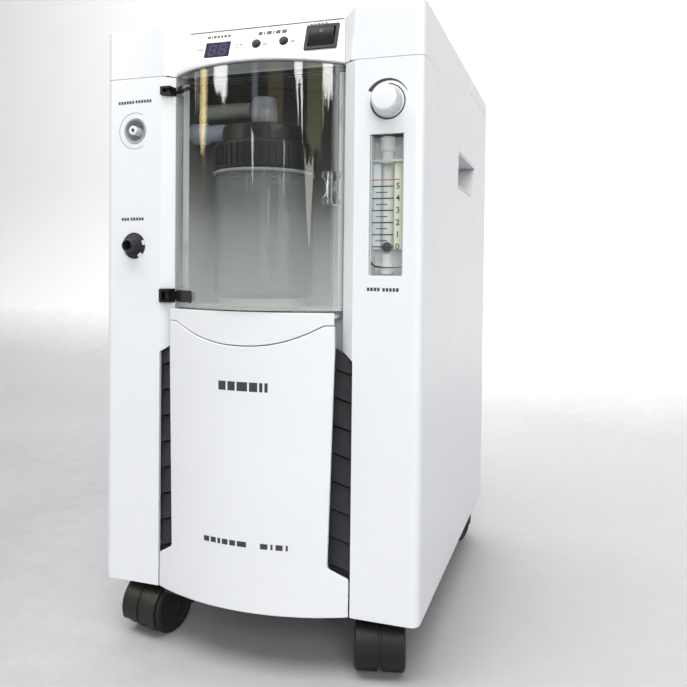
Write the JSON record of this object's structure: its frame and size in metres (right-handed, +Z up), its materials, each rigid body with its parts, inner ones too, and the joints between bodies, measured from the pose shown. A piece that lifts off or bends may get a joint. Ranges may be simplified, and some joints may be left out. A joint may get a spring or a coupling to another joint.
{
  "type": "oxygen concentrator",
  "caption": "Floor-standing home oxygen concentrator: white cabinet on swivel casters, clear door over a humidifier bottle, flowmeter with knob, gas outlets and sloping timer panel.",
  "frame": {"origin": "on the floor under the middle of the cabinet", "axes": "+Z up, the front with its door and controls faces -Y, +X is the right side seen from the front"},
  "size_m": [0.303, 0.438, 0.566],
  "materials": {
    "white_abs": "satin moulded, fine texture",
    "light_grey_plastic": "satin",
    "charcoal_plastic": "matte, fine texture",
    "black_plastic": "satin",
    "wheel_black": "matte nylon, worn by the floor",
    "clear_plastic": "clear, polished",
    "aluminium": "as cast and drawn",
    "circuit_board": "solder mask",
    "filter_foam": "open foam"
  },
  "bodies": {
    "cabinet": {"base_plate": "charcoal_plastic", "front_frame": "white_abs", "cabinet_shell": "white_abs", "rear_top_cover": "white_abs", "control_panel": "white_abs", "display_module": "black_plastic", "switch_bezel": "black_plastic", "chamber_liner": "light_grey_plastic", "hinge_bracket_upper": "black_plastic", "hinge_bracket_lower": "black_plastic", "humidifier_jar": "clear_plastic", "humidifier_cap": "black_plastic", "inlet_nut": "light_grey_plastic", "inlet_tube": "light_grey_plastic", "bubbler_tube": "clear_plastic", "outlet_spout": "clear_plastic", "lower_panel": "white_abs", "door_sill": "white_abs", "vent_grille_left": "charcoal_plastic", "vent_grille_right": "charcoal_plastic", "handle_pocket_left": "white_abs", "handle_pocket_right": "white_abs", "cord_hook_left": "black_plastic", "cord_hook_right": "black_plastic", "oxygen_bezel": "light_grey_plastic", "oxygen_barb": "white_abs", "nebuliser_outlet": "charcoal_plastic", "flowmeter_body": "clear_plastic", "needle_valve": "light_grey_plastic", "rear_panel": "white_abs", "filter_cover": "charcoal_plastic", "intake_filter": "filter_foam", "exhaust_grille": "charcoal_plastic", "power_inlet": "black_plastic", "circuit_breaker": "black_plastic", "compressor": "aluminium", "fan_housing": "black_plastic", "sieve_bed_left": "aluminium", "sieve_bed_right": "aluminium", "valve_block": "aluminium", "control_board": "circuit_board"},
    "door": {"chamber_door": "clear_plastic", "hinge_arm_upper": "black_plastic", "hinge_arm_lower": "black_plastic", "door_latch": "clear_plastic"},
    "timer_minus": {"timer_button_minus": "black_plastic"},
    "timer_plus": {"timer_button_plus": "black_plastic"},
    "rocker": {"switch_rocker": "black_plastic"},
    "knob": {"flow_knob": "white_abs"},
    "float": {"flow_float": "black_plastic"},
    "breaker_reset": {"breaker_button": "white_abs"},
    "fan": {"fan_rotor": "black_plastic"},
    "swivel_front_left": {"caster_hood_front_left": "black_plastic"},
    "wheels_front_left": {"caster_wheels_front_left": "wheel_black"},
    "swivel_front_right": {"caster_hood_front_right": "black_plastic"},
    "wheels_front_right": {"caster_wheels_front_right": "wheel_black"},
    "swivel_rear_left": {"caster_hood_rear_left": "black_plastic"},
    "wheels_rear_left": {"caster_wheels_rear_left": "wheel_black"},
    "swivel_rear_right": {"caster_hood_rear_right": "black_plastic"},
    "wheels_rear_right": {"caster_wheels_rear_right": "wheel_black"}
  },
  "joints": [
    {"name": "door_hinge", "type": "hinge", "parent": "cabinet", "child": "door", "pos_m": [-0.086, -0.1935, 0.4166], "axis": [0, 0, -1], "range_deg": [0, 110]},
    {"name": "minus_press", "type": "slide", "parent": "cabinet", "child": "timer_minus", "axis": [0, 0.9397, -0.342], "range_m": [0, 0.0012], "stiffness_N_per_m": 400, "springref_m": -0.0015},
    {"name": "plus_press", "type": "slide", "parent": "cabinet", "child": "timer_plus", "axis": [0, 0.9397, -0.342], "range_m": [0, 0.0012], "stiffness_N_per_m": 400, "springref_m": -0.0015},
    {"name": "rocker_tilt", "type": "hinge", "parent": "cabinet", "child": "rocker", "pos_m": [0.0567, -0.17633, 0.54775], "axis": [-1, 0, 0], "range_deg": [0, 14]},
    {"name": "knob_turn", "type": "hinge", "parent": "cabinet", "child": "knob", "pos_m": [0.12075, -0.2, 0.486], "axis": [0, -1, 0], "range_deg": [0, 1080]},
    {"name": "float_rise", "type": "slide", "parent": "cabinet", "child": "float", "axis": [0, 0, 1], "range_m": [0, 0.082]},
    {"name": "breaker_pop", "type": "slide", "parent": "cabinet", "child": "breaker_reset", "axis": [0, 1, 0], "range_m": [0, 0.004]},
    {"name": "fan_spin", "type": "hinge", "parent": "cabinet", "child": "fan", "pos_m": [0, -0.02, 0.25], "axis": [0, 0, 1], "continuous": true},
    {"name": "swivel_front_left_turn", "type": "hinge", "parent": "cabinet", "child": "swivel_front_left", "pos_m": [-0.108, -0.15, 0.06], "axis": [0, 0, 1], "continuous": true},
    {"name": "wheels_front_left_roll", "type": "hinge", "parent": "swivel_front_left", "child": "wheels_front_left", "pos_m": [-0.11137, -0.16462, 0.024], "axis": [0.9744, -0.225, 0], "continuous": true},
    {"name": "swivel_front_right_turn", "type": "hinge", "parent": "cabinet", "child": "swivel_front_right", "pos_m": [0.108, -0.15, 0.06], "axis": [0, 0, 1], "continuous": true},
    {"name": "wheels_front_right_roll", "type": "hinge", "parent": "swivel_front_right", "child": "wheels_front_right", "pos_m": [0.11163, -0.16455, 0.024], "axis": [0.9703, 0.2419, 0], "continuous": true},
    {"name": "swivel_rear_left_turn", "type": "hinge", "parent": "cabinet", "child": "swivel_rear_left", "pos_m": [-0.108, 0.15, 0.06], "axis": [0, 0, 1], "continuous": true},
    {"name": "wheels_rear_left_roll", "type": "hinge", "parent": "swivel_rear_left", "child": "wheels_rear_left", "pos_m": [-0.11009, 0.13515, 0.024], "axis": [0.9903, -0.1392, 0], "continuous": true},
    {"name": "swivel_rear_right_turn", "type": "hinge", "parent": "cabinet", "child": "swivel_rear_right", "pos_m": [0.108, 0.15, 0.06], "axis": [0, 0, 1], "continuous": true},
    {"name": "wheels_rear_right_roll", "type": "hinge", "parent": "swivel_rear_right", "child": "wheels_rear_right", "pos_m": [0.11239, 0.16434, 0.024], "axis": [-0.9563, 0.2924, 0], "continuous": true}
  ]
}
